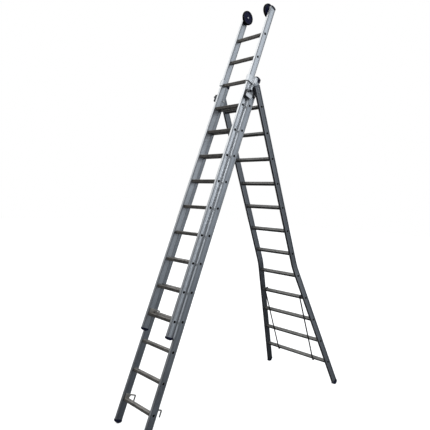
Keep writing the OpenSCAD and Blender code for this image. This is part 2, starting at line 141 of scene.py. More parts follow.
def strap_foot():
    """Height of the lower edge of the bent strap, where its neck and cheek begin."""
    points = islands("guide_straps")[0]
    inmost = span(points)[0].x
    return min(point.z for point in points if point.x < inmost + 0.001)


# ---- Materials ------------------------------------------------------------------------


class Shader:
    """A material with a Principled BSDF and a few short ways to add nodes to it."""

    def __init__(self, name, colour, metallic, roughness):
        self.material = bpy.data.materials.new(name)
        self.material.use_nodes = True
        self.tree = self.material.node_tree
        self.bsdf = self.tree.nodes["Principled BSDF"]
        self.bsdf.inputs["Base Color"].default_value = (*colour, 1)
        self.bsdf.inputs["Metallic"].default_value = metallic
        self.bsdf.inputs["Roughness"].default_value = roughness
        self.bumps = []

    def add(self, kind, **settings):
        node = self.tree.nodes.new("ShaderNode" + kind)
        for key, value in settings.items():
            setattr(node, key, value)
        return node

    def link(self, source, target):
        self.tree.links.new(source, target)

    def local(self, section, scale=(1, 1, 1)):
        """Coordinates in a section's own frame, multiplied by scale."""
        place = self.add("TexCoord")
        turned = self.add("Mapping", vector_type="TEXTURE")
        turned.inputs["Location"].default_value = SECTIONS[section].translation
        turned.inputs["Rotation"].default_value = (lean(section), 0, 0)
        scaled = self.add("Mapping")
        scaled.inputs["Scale"].default_value = scale
        self.link(place.outputs["Object"], turned.inputs["Vector"])
        self.link(turned.outputs["Vector"], scaled.inputs["Vector"])
        return scaled.outputs["Vector"]

    def axes(self, section):
        """X, Y and Z in a section's own frame."""
        split = self.add("SeparateXYZ")
        self.link(self.local(section), split.inputs["Vector"])
        return [split.outputs[axis] for axis in "XYZ"]

    def math(self, operation, *values):
        """Result of a Math node; each value is a number or another node's output."""
        node = self.add("Math", operation=operation)
        for socket, value in zip(node.inputs, values):
            if isinstance(value, (int, float)):
                socket.default_value = value
            else:
                self.link(value, socket)
        return node.outputs["Value"]

    def noise(self, vector, scale, detail=3, roughness=0.55):
        node = self.add("TexNoise")
        node.inputs["Scale"].default_value = scale
        node.inputs["Detail"].default_value = detail
        node.inputs["Roughness"].default_value = roughness
        self.link(vector, node.inputs["Vector"])
        return node.outputs["Fac"]

    def spread(self, value, low, high, start=0.3, end=0.7):
        """value from start to end, as low to high."""
        node = self.add("MapRange")
        node.inputs["From Min"].default_value = start
        node.inputs["From Max"].default_value = end
        node.inputs["To Min"].default_value = low
        node.inputs["To Max"].default_value = high
        self.link(value, node.inputs["Value"])
        return node.outputs["Result"]

    def ramp(self, value, dark, light, start=0.3, end=0.7):
        """Colour from dark to light as value goes from start to end."""
        ramp = self.add("ValToRGB")
        ramp.color_ramp.elements[0].position = start
        ramp.color_ramp.elements[0].color = (*dark, 1)
        ramp.color_ramp.elements[1].position = end
        ramp.color_ramp.elements[1].color = (*light, 1)
        self.link(value, ramp.inputs["Fac"])
        return ramp.outputs["Color"]

    def blend(self, factor, first, second):
        """Colour from first to second; each is a colour or another node's output."""
        node = self.add("Mix", data_type="RGBA")
        self.link(factor, node.inputs[0])
        for socket, colour in ((node.inputs[6], first), (node.inputs[7], second)):
            if isinstance(colour, tuple):
                socket.default_value = (*colour, 1)
            else:
                self.link(colour, socket)
        return node.outputs[2]

    def colour(self, value):
        self.link(value, self.bsdf.inputs["Base Color"])

    def tint(self, value, dark, light, start=0.3, end=0.7):
        """Base colour from dark to light as value goes from start to end."""
        self.colour(self.ramp(value, dark, light, start, end))

    def rough(self, value, low, high, start=0.3, end=0.7):
        self.link(self.spread(value, low, high, start, end), self.bsdf.inputs["Roughness"])

    def bump(self, value, strength, distance):
        """Adds a bump on top of the ones before it."""
        node = self.add("Bump")
        node.inputs["Strength"].default_value = strength
        node.inputs["Distance"].default_value = distance
        self.link(value, node.inputs["Height"])
        if self.bumps:
            self.link(self.bumps[-1].outputs["Normal"], node.inputs["Normal"])
        self.bumps.append(node)
        self.link(node.outputs["Normal"], self.bsdf.inputs["Normal"])


# Along a stile's depth, from its middle: where the flanges begin and where the web's
# grooves run, and half the width of a groove
FLANGE_EDGE = 0.0238
GROOVE_PLACES = (0.0075, 0.0155)
GROOVE_HALF = 0.0011
# Width of the dark line along the edges of the flanges, a painted dark reflection of their rounded
# edges
EDGE_REFLECTION_WIDTH = 0.0052
# Dark and light tone of each section's webs and flanges. The sections' tones differ as painted
# light and shade: the top section is painted lightest, the base darkest
PAINTED_LIGHT_WEB_TONES = {
    "top": ((0.58, 0.605, 0.64), (0.74, 0.765, 0.795)),
    "middle": ((0.32, 0.34, 0.37), (0.48, 0.505, 0.535)),
    "base": ((0.13, 0.138, 0.15), (0.2, 0.21, 0.222)),
}
# Flanges painted lighter than the webs, a painted highlight of their rounded lips; the base's
# flanges are painted darker, as painted shade
FLANGE_HIGHLIGHT_TONES = ((0.72, 0.74, 0.76), (0.84, 0.85, 0.86))
PAINTED_FLANGE_TONES = {
    "top": FLANGE_HIGHLIGHT_TONES,
    "middle": FLANGE_HIGHLIGHT_TONES,
    "base": ((0.27, 0.28, 0.3), (0.38, 0.39, 0.41)),
}
# Painted shade in the web's grooves and along the foot of each flange
GROOVE_SHADE_TONE = (0.1, 0.11, 0.13)
# Painted shade on the webs' inner sides, which face the other stile
INNER_SHADE_TONE = (0.15, 0.165, 0.185)
# Tone of the painted dark reflection along the flanges' edges
EDGE_REFLECTION_TONE = (0.1, 0.105, 0.115)


def web_grooves(shader, depth):
    """1 in the grooves of a stile's web and 0 elsewhere."""
    groove = 0.0
    for place in GROOVE_PLACES:
        away = shader.math("ABSOLUTE", shader.math("SUBTRACT", depth, place))
        line = shader.spread(away, 1, 0, GROOVE_HALF / 2, GROOVE_HALF)
        groove = shader.math("MAXIMUM", line, groove)
    return groove


def extruded_aluminium(section):
    """Mill-finished stile: fine lines along it, grooves in the web painted dark as shade, flanges
    painted light as a highlight.

    The base section's stiles flare, so their inner side and corners aren't told apart, and get no
    painted shade there.
    """
    shader = Shader("stile_aluminium_" + section, PAINTED_LIGHT_WEB_TONES[section][1], 1.0, 0.36)
    streaks = shader.noise(shader.local(section, (9, 160, 0.9)), 1.0, 4)
    smudges = shader.noise(shader.local(section), 7.0, 4)
    lines = shader.noise(shader.local(section, (40, 1100, 0.25)), 1.0, 2)
    across, behind = shader.axes(section)[:2]
    depth = shader.math("ABSOLUTE", behind)
    flange = shader.spread(depth, 0, 1, FLANGE_EDGE - 0.001, FLANGE_EDGE + 0.001)
    groove = web_grooves(shader, depth)
    web = shader.ramp(streaks, *PAINTED_LIGHT_WEB_TONES[section])
    # Painted shadow line along the web at the foot of each flange, added to the grooves' painted
    # shade
    flange_foot_shade = shader.spread(depth, 0, 1, FLANGE_EDGE - 0.004, FLANGE_EDGE - 0.002)
    groove = shader.math("MAXIMUM", groove, shader.math("MULTIPLY", flange_foot_shade, 0.8))
    web = shader.blend(shader.math("MULTIPLY", groove, 0.6), web, GROOVE_SHADE_TONE)
    # Flange tone: a painted highlight on the top and middle sections, painted shade on the base
    flange_highlight = shader.ramp(streaks, *PAINTED_FLANGE_TONES[section])
    if section == "base":
        shader.colour(shader.blend(flange, web, flange_highlight))
    else:
        low, high = (corner.x for corner in stile_span(section))
        offset = shader.math("SUBTRACT", shader.math("ABSOLUTE", across), (low + high) / 2)
        # The inner webs are painted darker as shade
        inner_shade = shader.spread(offset, 0.3, 0, -0.001, 0.001)
        web = shader.blend(inner_shade, web, INNER_SHADE_TONE)
        metal = shader.blend(flange, web, flange_highlight)
        edge = (high - low) / 2
        inset = shader.math("ABSOLUTE", offset)
        # Dark line painted along the flanges' edges, a painted reflection of their rounding
        corner = shader.spread(inset, 0, 1, edge - EDGE_REFLECTION_WIDTH, edge - EDGE_REFLECTION_WIDTH / 3)
        corner = shader.math("MULTIPLY", shader.math("MULTIPLY", corner, flange), 0.8)
        shader.colour(shader.blend(corner, metal, EDGE_REFLECTION_TONE))
    shader.rough(smudges, 0.3, 0.44)
    shader.bump(lines, 0.25, 0.0003)
    shader.bump(shader.math("SUBTRACT", 1.0, groove), 0.6, 0.0005)
    return shader.material


# Dark and light tone of the rungs, which differ by section as painted light and shade, the
# middle's lightest and the top's darkest; and the radius of the dark mouth of their bores, which
# is painted shade
PAINTED_LIGHT_RUNG_TONES = {
    "top": ((0.19, 0.178, 0.163), (0.31, 0.292, 0.268)),
    "middle": ((0.27, 0.257, 0.238), (0.44, 0.418, 0.388)),
    "base": ((0.22, 0.214, 0.204), (0.35, 0.341, 0.325)),
}
BORE_SHADE_RADIUS = 0.0108


def rung_aluminium(section):
    """Duller ribbed rung, with scuffs across the tread and its bore's mouth painted black as
    shade.
    """
    shader = Shader("rung_aluminium_" + section, PAINTED_LIGHT_RUNG_TONES[section][1], 0.75, 0.5)
    streaks = shader.noise(shader.local(section, (2.5, 260, 260)), 1.0, 3)
    scuffs = shader.noise(shader.local(section, (28, 28, 28)), 1.0, 5, 0.65)
    behind, up = shader.axes(section)[1:]
    height = shader.math("PINGPONG", up, RUNG_PITCH / 2)
    square = shader.math("MULTIPLY", behind, behind)
    radius = shader.math("SQRT", shader.math("MULTIPLY_ADD", height, height, square))
    # The bore and its flared mouth are painted black as shade
    bore = shader.spread(radius, 1, 0, BORE_SHADE_RADIUS, BORE_SHADE_RADIUS + 0.0002)
    metal = shader.ramp(scuffs, *PAINTED_LIGHT_RUNG_TONES[section], 0.35, 0.68)
    shader.colour(shader.blend(bore, metal, (0.004, 0.004, 0.004)))
    shader.rough(scuffs, 0.42, 0.6)
    shader.bump(streaks, 0.2, 0.0004)
    return shader.material


def moulded(name, section, dark, light, roughness):
    """Moulded plastic or rubber with a fine grain and slight mottling."""
    shader = Shader(name, light, 0.0, roughness)
    mottle = shader.noise(shader.local(section), 30.0, 4)
    skin = shader.noise(shader.local(section), 420.0, 3)
    shader.tint(mottle, dark, light)
    shader.rough(mottle, roughness - 0.07, roughness + 0.09)
    shader.bump(skin, 0.3, 0.0004)
    shader.bsdf.inputs["Specular IOR Level"].default_value = 0.2
    return shader.material


# Tone and height of the darker band of a steel piece, and how much of that tone it takes
DARK_BAND_TONE = (0.08, 0.086, 0.095)
DARK_BAND_TALL = 0.12
DARK_BAND_SHARE = 0.75


def plain_steel(name, section, dark, light, roughness, metallic, dark_band_below=None):
    """Steel with blotchy tone and fine scratches, darker in a band below a height if given."""
    shader = Shader(name, light, metallic, roughness)
    blotches = shader.noise(shader.local(section), 26.0, 5, 0.62)
    scratches = shader.noise(shader.local(section, (300, 300, 18)), 1.0, 3)
    metal = shader.ramp(blotches, dark, light)
    # Below the given height the tone is darkened in a band, down the strap's cheek
    if dark_band_below is not None:
        up = shader.axes(section)[2]
        end = dark_band_below - DARK_BAND_TALL
        below = shader.spread(up, 0, DARK_BAND_SHARE, end - 0.01, end + 0.01)
        above = shader.spread(up, DARK_BAND_SHARE, 0, dark_band_below - 0.002, dark_band_below + 0.002)
        metal = shader.blend(shader.math("MINIMUM", below, above), metal, DARK_BAND_TONE)
    shader.colour(metal)
    shader.rough(blotches, roughness - 0.08, roughness + 0.12)
    shader.bump(scratches, 0.15, 0.0003)
    return shader.material


# Dark and light tone and roughness of the moulded finishes
MOULDED = {
    "foot_rubber": ((0.004, 0.005, 0.016), (0.009, 0.012, 0.04), 0.62),
    "cap_plastic": ((0.003, 0.004, 0.014), (0.006, 0.008, 0.032), 0.5),
    "roller_plastic": ((0.002, 0.003, 0.018), (0.005, 0.008, 0.06), 0.5),
    "tread_rubber": ((0.002, 0.002, 0.003), (0.005, 0.005, 0.008), 0.6),
    "block_plastic": ((0.05, 0.052, 0.056), (0.09, 0.093, 0.1), 0.6),
    "knob_plastic": ((0.004, 0.004, 0.005), (0.009, 0.009, 0.011), 0.5),
}
# The same of the steel and sheet finishes, and how metallic they are
STEEL = {
    "dark_steel": ((0.02, 0.02, 0.022), (0.05, 0.05, 0.052), 0.55, 0.3),
    "hook_steel": ((0.3, 0.285, 0.26), (0.46, 0.44, 0.41), 0.42, 0.8),
    "bolt_steel": ((0.42, 0.42, 0.41), (0.6, 0.6, 0.6), 0.32, 1.0),
    "strap_aluminium": ((0.6, 0.62, 0.64), (0.8, 0.81, 0.83), 0.34, 1.0),
    "rivet_aluminium": ((0.3, 0.31, 0.33), (0.46, 0.47, 0.49), 0.38, 1.0),
}


def make_material(slot, section):
    """A new material for a finish, in the frame of one section."""
    if slot == "stile_aluminium":
        return extruded_aluminium(section)
    if slot == "rung_aluminium":
        return rung_aluminium(section)
    name = slot + "_" + section
    if slot in MOULDED:
        return moulded(name, section, *MOULDED[slot])
    if slot == "strap_aluminium":
        # The strap and its cheek are darker in a band below the strap's foot
        return plain_steel(name, section, *STEEL[slot], strap_foot())
    return plain_steel(name, section, *STEEL[slot])


made_materials = {}


def material(slot, section):
    """The material of a finish in the frame of one section, made when first asked for."""
    key = (slot, section)
    if key not in made_materials:
        made_materials[key] = make_material(slot, section)
    return made_materials[key]


def dress(node):
    """Gives a CAD node its finish."""
    mesh = nodes[node].data
    mesh.materials.clear()
    mesh.materials.append(material(SLOTS[node], SECTION_OF[node]))


# Width of the rounding on the edges of the moulded and the pressed pieces
SOFT_EDGES = {
    "top_feet": 0.0014,
    "middle_feet": 0.0014,
    "base_feet": 0.0014,
    "middle_caps": 0.0007,
    "base_caps": 0.0008,
    "roller_brackets": 0.0014,
    "top_hooks": 0.0009,
    "middle_hooks": 0.0009,
    "hinge_plates": 0.0007,
    "base_braces": 0.0007,
}

# ---- Ways to make a form --------------------------------------------------------------


def lathe(form, profile, x, y, z, segments=48, flute=0.0, flutes=1):
    """Adds the closed outline of (along X, radius) points turned round X at a place.

    Each of the flutes takes up to the share flute of the radius away.
    """
    rings = []
    for step in range(segments):
        turn = 2 * math.pi * step / segments
        shrink = 1 - flute * (1 + math.cos(flutes * turn)) / 2
        ring = []
        for along, radius in profile:
            behind = y + radius * shrink * math.cos(turn)
            up = z + radius * shrink * math.sin(turn)
            ring.append(form.verts.new((x + along, behind, up)))
        rings.append(ring)
    for step in range(segments):
        here, there = rings[step], rings[(step + 1) % segments]
        for index in range(len(profile)):
            after = (index + 1) % len(profile)
            form.faces.new((here[index], here[after], there[after], there[index]))


def arc(centre_at, radius, start, end, steps=6):
    """Points of an arc in degrees, in the plane of the two coordinates of its centre."""
    points = []
    for step in range(steps + 1):
        turn = math.radians(start + (end - start) * step / steps)
        first = centre_at[0] + radius * math.cos(turn)
        second = centre_at[1] + radius * math.sin(turn)
        points.append((first, second))
    return points


# Radius of a lathed outline where it closes on its axis
AXIS_GAP = 0.0004


def dome(base, radius, height, steps=5):
    """Outline of a domed head that rises along X from base, for lathe."""
    curve = []
    for step in range(steps + 1):
        turn = math.pi / 2 * step / steps
        curve.append((base + height * math.sin(turn), max(radius * math.cos(turn), AXIS_GAP)))
    return [(base, AXIS_GAP)] + [(base, radius)] + curve[1:]


def chamfered(start, end, radius, chamfer):
    """Outline of a washer, nut or shaft with chamfered ends, for lathe."""
    return [
        (start, AXIS_GAP),
        (start, radius - chamfer),
        (start + chamfer, radius),
        (end - chamfer, radius),
        (end, radius - chamfer),
        (end, AXIS_GAP),
    ]


def prism(form, outline, low, high, axis):
    """Adds the outline, a list of two-coordinate points, extruded along an axis 0, 1 or 2."""
    def point(first, second, along):
        coords = [first, second]
        coords.insert(axis, along)
        return coords

    lower = [form.verts.new(point(first, second, low)) for first, second in outline]
    upper = [form.verts.new(point(first, second, high)) for first, second in outline]
    form.faces.new(lower[::-1])
    form.faces.new(upper)
    for index in range(len(outline)):
        after = (index + 1) % len(outline)
        form.faces.new((lower[index], lower[after], upper[after], upper[index]))


def soften(form, width, segments=2, sharp=35):
    """Rounds every edge that is sharper than sharp degrees."""
    bmesh.ops.remove_doubles(form, verts=form.verts, dist=WELD)
    bmesh.ops.recalc_face_normals(form, faces=form.faces)
    edges = [
        edge for edge in form.edges
        if len(edge.link_faces) == 2 and edge.calc_face_angle() > math.radians(sharp)
    ]
    bmesh.ops.bevel(form, geom=edges, offset=width, segments=segments, profile=0.6,
                    affect="EDGES", clamp_overlap=True)


# Edges flatter than this are shaded smooth
SMOOTH_BELOW = math.radians(32)


def finish(form, name, section, body, slot, replaced=(), mirrored=True):
    """Makes a form, drawn on the right in a section's frame, into pieces on both sides, or into
    one piece in place when not mirrored.
    """
    bmesh.ops.recalc_face_normals(form, faces=form.faces)
    made = []
    for side in ("right", "left") if mirrored else ("",):
        copy = form.copy()
        if side == "left":
            bmesh.ops.scale(copy, vec=(-1, 1, 1), verts=copy.verts)
            bmesh.ops.reverse_faces(copy, faces=copy.faces)
        copy.transform(SECTIONS[section])
        mesh = bpy.data.meshes.new(name)
        copy.to_mesh(mesh)
        copy.free()
        mesh.materials.append(material(slot, section))
        mesh.shade_smooth()
        mesh.set_sharp_from_angle(angle=SMOOTH_BELOW)
        piece = bpy.data.objects.new(name + ("_" + side if side else ""), mesh)
        scene.collection.objects.link(piece)
        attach(piece, body if isinstance(body, str) else body[side])
        made.append(piece)
    if replaced:
        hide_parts(*replaced)
    form.free()
    return made


def softened(node, width):
    """Copy of a CAD node with rounded edges, in its place."""
    form = bmesh.new()
    form.from_mesh(nodes[node].data)
    bmesh.ops.remove_doubles(form, verts=form.verts, dist=WELD)
    bmesh.ops.dissolve_limit(form, angle_limit=math.radians(1), verts=form.verts, edges=form.edges)
    soften(form, width)
    section = SECTION_OF[node]
    form.transform(SECTIONS[section].inverted())
    finish(form, node + "_soft", section, BODY[section], SLOTS[node], (node,), False)


def join(form, part):
    """Moves another form's faces into a form."""
    patch = bpy.data.meshes.new("patch")
    part.to_mesh(patch)
    part.free()
    form.from_mesh(patch)
    bpy.data.meshes.remove(patch)


# ---- Pieces ---------------------------------------------------------------------------

# Ribs on a wheel's disc, on a guide block and on the step of a strap
WHEEL_RIBS = 8
BLOCK_RIBS = 5
STEP_RIBS = 6
# Radius of a rivet's shank, and of the rounded bars across a strap's step
RIVET_SHANK = 0.004
STEP_RIB_RADIUS = 0.0016
# The strap's sheet, its gap beside the top section's stile, its lip and its cheek's corners
STRAP_THICK = 0.0022
STRAP_GAP = 0.004
STRAP_LIP = 0.014
CHEEK_CORNER = 0.006
BEND_STEPS = 4
WHEEL_BODIES = {"right": "roller_right", "left": "roller_left"}


def make_treads():
    """Dark tread round each roller, with a groove by each of its rounded shoulders."""
    low, high = spans("roller_wheel_right")[0]
    middle = (low + high) / 2
    radius = (high.y - low.y) / 2
    tread_out, tread_in = -0.002, -0.024
    tread = [(tread_in + 0.006, radius - 0.0125), (tread_in + 0.0015, radius - 0.011)]
    tread += arc((tread_in + 0.0055, radius - 0.0055), 0.0055, 180, 90)
    for groove in (tread_in + 0.009, tread_out - 0.009):
        tread += [(groove - 0.0008, radius), (groove - 0.0004, radius - 0.0012)]
        tread += [(groove + 0.0004, radius - 0.0012), (groove + 0.0008, radius)]
    tread += arc((tread_out - 0.0055, radius - 0.0055), 0.0055, 90, 0)
    tread += [(tread_out - 0.0015, radius - 0.011), (tread_out - 0.006, radius - 0.0125)]
    form = bmesh.new()
    lathe(form, tread, high.x, middle.y, middle.z, 96)
    finish(form, "roller_tread", "top", WHEEL_BODIES, "tread_rubber")


def make_discs():
    """Navy disc inside each tread: hub, ribbed web and the rim that the tread sits on."""
    low, high = spans("roller_wheel_right")[0]
    middle = (low + high) / 2
    radius = (high.y - low.y) / 2
    bore, hub = 0.00506, 0.017
    web, rim, seat = radius - 0.021, radius - 0.0185, radius - 0.0115
    disc = [(0, bore), (0, hub - 0.0015), (-0.0015, hub), (-0.0085, hub + 0.0015)]
    disc += [(-0.0095, hub + 0.004), (-0.0095, web), (-0.007, rim), (-0.007, seat)]
    disc += [(-0.019, seat), (-0.019, rim), (-0.0165, web), (-0.0165, hub + 0.004)]
    disc += [(-0.0175, hub + 0.0015), (-0.0195, hub - 0.0005), (-0.02, hub - 0.0015)]
    disc += [(-0.02, bore)]
    form = bmesh.new()
    lathe(form, disc, high.x, middle.y, middle.z, 96)
    start = hub + 0.001
    outline = [(start, -0.0014), (rim, -0.0011), (rim, 0.0011), (start, 0.0014)]
    for index in range(WHEEL_RIBS):
        rib = bmesh.new()
        prism(rib, outline, -0.0182, -0.0078, 0)
        soften(rib, 0.0005, 1)
        turned = Matrix.Rotation(2 * math.pi * index / WHEEL_RIBS, 4, "X")
        rib.transform(Matrix.Translation((high.x, middle.y, middle.z)) @ turned)
        join(form, rib)
    discs = finish(form, "roller_disc", "top", WHEEL_BODIES, "roller_plastic")
    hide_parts("roller_wheel_right")
    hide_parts("roller_wheel_left")


def make_axles():
    """Roller axle: a shaft, a domed head outside the stile and a hex nut by the hub."""
    low, high = spans("roller_axles")[0]
    middle = (low + high) / 2
    place = (middle.y, middle.z)
    shaft, cap, face, hexagon = 0.005, 0.008, 0.0085, 0.0078
    head, nut = 0.003, 0.005
    form = bmesh.new()
    lathe(form, chamfered(low.x + 0.0008, high.x - head, shaft, 0.0006), 0, *place)
    lathe(form, dome(high.x - head, cap, head), 0, *place)
    lathe(form, chamfered(low.x + nut - 0.001, low.x + nut, face, 0.0003), 0, *place)
    lathe(form, chamfered(low.x + 0.0012, low.x + nut - 0.001, hexagon, 0.0005), 0, *place, 6)
    finish(form, "roller_axle_detail", "top", "top_section", "bolt_steel", ("roller_axles",))


def make_rivets(node, section, name, slot):
    """Each rivet: its shank, a spacer in the web's recess and a domed head outside."""
    form = bmesh.new()
    for low, high in spans(node):
        middle = (low + high) / 2
        place = (middle.y, middle.z)
        lathe(form, chamfered(low.x, high.x, RIVET_SHANK, 0.0002), 0, *place, 24)
        wide = (high.y - low.y) / 2
        lathe(form, chamfered(low.x + 0.0016, high.x - STRAP_THICK, wide, 0.0003), 0, *place, 32)
        lathe(form, dome(high.x, wide, 0.0018), 0, *place, 32)
    finish(form, name, section, BODY[section], slot, (node,))


def make_hinge_bolts():
    """Hinge bolt: hex head inside the middle stile, washer in the web, lock nut outside."""
    low, high = spans("hinge_bolts")[0]
    middle = (low + high) / 2
    place = (middle.y, middle.z)
    pin, hexagon, face, locknut, washer = 0.006, 0.0098, 0.0103, 0.0088, 0.0095
    head_end = low.x + 0.005
    nut_start = high.x - 0.0062
    washer_start = stile_span("middle")[1].x - 0.004
    form = bmesh.new()
    lathe(form, chamfered(low.x + 0.001, high.x - 0.0004, pin, 0.0008), 0, *place)
    lathe(form, chamfered(low.x, head_end - 0.0008, hexagon, 0.0007), 0, *place, 6)
    lathe(form, chamfered(head_end - 0.001, head_end, face, 0.0003), 0, *place)
    lathe(form, chamfered(nut_start, nut_start + 0.001, locknut, 0.0003), 0, *place)
    lathe(form, chamfered(nut_start + 0.0008, high.x - 0.0014, locknut, 0.0007), 0, *place, 6)
    lathe(form, chamfered(washer_start, nut_start - 0.0028, washer, 0.0004), 0, *place)
    finish(form, "hinge_bolt_detail", "middle", "middle_section", "bolt_steel", ("hinge_bolts",))


def rectangle(low, high):
    """Outline of a box in X and Y."""
    return [(low.x, low.y), (high.x, low.y), (high.x, high.y), (low.x, high.y)]


def make_blocks():
    """Block beside the top section: rounded ribs across it, round a core."""
    wall = stile_span("middle")[1].x
    points = islands("guide_blocks")[0]
    low, high = span([point for point in points if point.x < wall + WELD])
    rise = (high.z - low.z) / BLOCK_RIBS
    form = bmesh.new()
    for index in range(BLOCK_RIBS):
        start = low.z + index * rise
        prism(form, rectangle(low, high), start + 0.0011, start + rise - 0.0011, 2)
    soften(form, 0.0016)
    core_low = low + Vector((0.0015, 0.03 * (high.y - low.y), 0.004))
    core_high = high - Vector((0.0005, 0, 0.004))
    prism(form, rectangle(core_low, core_high), core_low.z, core_high.z, 2)
    body = "middle_section"
    finish(form, "guide_block_detail", "middle", body, "block_plastic", ("guide_blocks",))


def make_knobs():
    """Fluted knob outside each strap's cheek, on a shank through the cheek."""
    wall = stile_span("middle")[1].x
    points = islands("guide_blocks")[0]
    low, high = span([point for point in points if point.x > wall + 0.003])
    middle = (low + high) / 2
    radius = (high.z - low.z) / 2
    base, tip = low.x, high.x
    knob = [(base, AXIS_GAP), (base, radius * 0.86), (base + 0.002, radius * 0.9)]
    knob += [(base + 0.0035, radius), (tip - 0.005, radius)]
    knob += arc((tip - 0.005, radius - 0.005), 0.005, 90, 0, 4)
    knob += [(tip, radius * 0.5), (tip - 0.0012, radius * 0.42), (tip - 0.0012, AXIS_GAP)]
    shank = chamfered(wall - 0.002, base + 0.001, RIVET_SHANK, 0.0002)
    form = bmesh.new()
    lathe(form, knob, 0, middle.y, middle.z, 96, 0.09, 12)
    lathe(form, shank, 0, middle.y, middle.z, 24)
    finish(form, "guide_knob", "middle", "middle_section", "knob_plastic")


def bent_strip(form, route, thick, low, high, bend):
    """Adds a strip whose middle line follows a route in X and Y, with rounded bends."""
    line = [Vector(route[0])]
    for before, here, after in zip(route, route[1:], route[2:]):
        here, before, after = Vector(here), Vector(before), Vector(after)
        start = here + (before - here).normalized() * bend
        end = here + (after - here).normalized() * bend
        for step in range(BEND_STEPS + 1):
            part = step / BEND_STEPS
            line.append(start * (1 - part) ** 2 + here * 2 * part * (1 - part) + end * part ** 2)
    line.append(Vector(route[-1]))
    left, right = [], []
    for index, point in enumerate(line):
        ahead = line[min(index + 1, len(line) - 1)] - line[max(index - 1, 0)]
        side = Vector((-ahead.y, ahead.x)).normalized() * thick / 2
        left.append(point + side)
        right.append(point - side)
    prism(form, [tuple(point) for point in left + right[::-1]], low, high, 2)


def add_step_ribs(form, start, end, front, low, high):
    """Adds the rounded ribs stamped across the strap's step, between two heights."""
    radius = STEP_RIB_RADIUS
    rib = [(start, AXIS_GAP)] + arc((start + radius, 0), radius, 180, 90, 4)[1:]
    rib += arc((end - radius, 0), radius, 90, 0, 4)[:-1] + [(end, AXIS_GAP)]
    for index in range(1, STEP_RIBS + 1):
        lathe(form, rib, 0, front, low + index * (high - low) / (STEP_RIBS + 1), 16)


def add_cheek(form, points, strap_low):
    """Adds the riveted plate below the strap, with the neck that joins it to the strap."""
    outer = span(points)[1].x
    low, high = span([point for point in points if point.z < strap_low - 0.003])
    face = [point for point in points if point.x > outer - 0.003]
    neck = min(point.y for point in face if abs(point.z - strap_low) < 0.0015)
    radius = CHEEK_CORNER
    outline = arc((low.y + radius, low.z + radius), radius, 270, 180, 4)
    outline += arc((low.y + radius, high.z - radius), radius, 180, 90, 4)
    outline += [(neck, high.z), (neck, strap_low + 0.001)]
    outline += [(high.y - 0.002, strap_low + 0.001), (high.y - 0.002, high.z)]
    outline += arc((high.y - radius, low.z + radius), radius, 0, -90, 4)
    plate = bmesh.new()
    prism(plate, outline, outer - STRAP_THICK, outer, 0)
    soften(plate, 0.0005, 1, 60)
    join(form, plate)


def make_straps():
    """Bent strap round the top section's stile, its ribbed step and the cheek below."""
    points = islands("guide_straps")[0]
    half = STRAP_THICK / 2
    strap_low, strap_high = strap_foot(), span(points)[1].z
    band = [point for point in points if point.z > strap_high - 0.001]
    low, high = span(band)
    step_front = min(point.y for point in band if point.x > high.x - 0.001)
    side = stile_span("top")[1].x + STRAP_GAP
    route = [(low.x + half, low.y + STRAP_LIP), (low.x + half, low.y + half)]
    route += [(side + half, low.y + half), (side + half, step_front + half)]
    route += [(high.x - half, step_front + half), (high.x - half, high.y)]
    form = bmesh.new()
    bent_strip(form, route, STRAP_THICK, strap_low, strap_high, 0.0035)
    soften(form, 0.0005, 1, 60)
    rib_start, rib_end = side + STRAP_THICK + 0.0022, high.x - STRAP_THICK - 0.0016
    add_step_ribs(form, rib_start, rib_end, step_front, strap_low, strap_high)
    add_cheek(form, points, strap_low)
    body = "middle_section"
    finish(form, "guide_strap_detail", "middle", body, "strap_aluminium", ("guide_straps",))


# ---- Stage, lights and camera ---------------------------------------------------------


def make_floor():
    """Pale floor just under the soles, which throws no light back onto the ladder."""
    bpy.ops.mesh.primitive_plane_add(size=60, location=(0, 0, -0.001))
    floor = bpy.context.object
    floor.name = "floor"
    shader = Shader("floor_pale", (0.6, 0.6, 0.6), 0.0, 0.9)
    shader.bsdf.inputs["Specular IOR Level"].default_value = 0
    shader.bsdf.inputs["Emission Color"].default_value = (1, 1, 1, 1)
    shader.bsdf.inputs["Emission Strength"].default_value = 0.72
    floor.data.materials.append(shader.material)
    floor.visible_glossy = False
    floor.visible_diffuse = False


# Brightness of the studio by elevation in degrees, as the ladder's surfaces see it: to the
# left of the ladder a dark hall below a bright ceiling, to the right a glow from just below
# the horizon up.
LEFT_GLOW = (
    (-90, (0.03, 0.03, 0.03)),
    (-8, (0.05, 0.052, 0.055)),
    (6, (0.09, 0.095, 0.1)),
    (14, (0.17, 0.18, 0.19)),
    (26, (0.55, 0.57, 0.59)),
    (46, (0.9, 0.915, 0.93)),
    (90, (1.1, 1.12, 1.14)),
)
RIGHT_GLOW = (
    (-90, (0.03, 0.03, 0.03)),
    (-28, (0.05, 0.053, 0.06)),
    (-19, (0.12, 0.13, 0.143)),
    (-12, (0.24, 0.26, 0.283)),
    (-2, (0.6, 0.638, 0.68)),
    (9, (0.92, 0.965, 1.01)),
    (22, (0.62, 0.665, 0.71)),
    (50, (0.8, 0.84, 0.88)),
    (90, (0.95, 0.97, 1.0)),
)
# Level directions to the right of the view and away from the camera
SCREEN_RIGHT = (0.689, 0.725)
SCREEN_AWAY = (-0.725, 0.689)
# Strength of the studio's light. The glows are divided by it, so that no stop is over 1.
CEILING = 2.0
# Colour straight behind the ladder, as a share of that strength
BEHIND_DARK = (0.075, 0.078, 0.084)


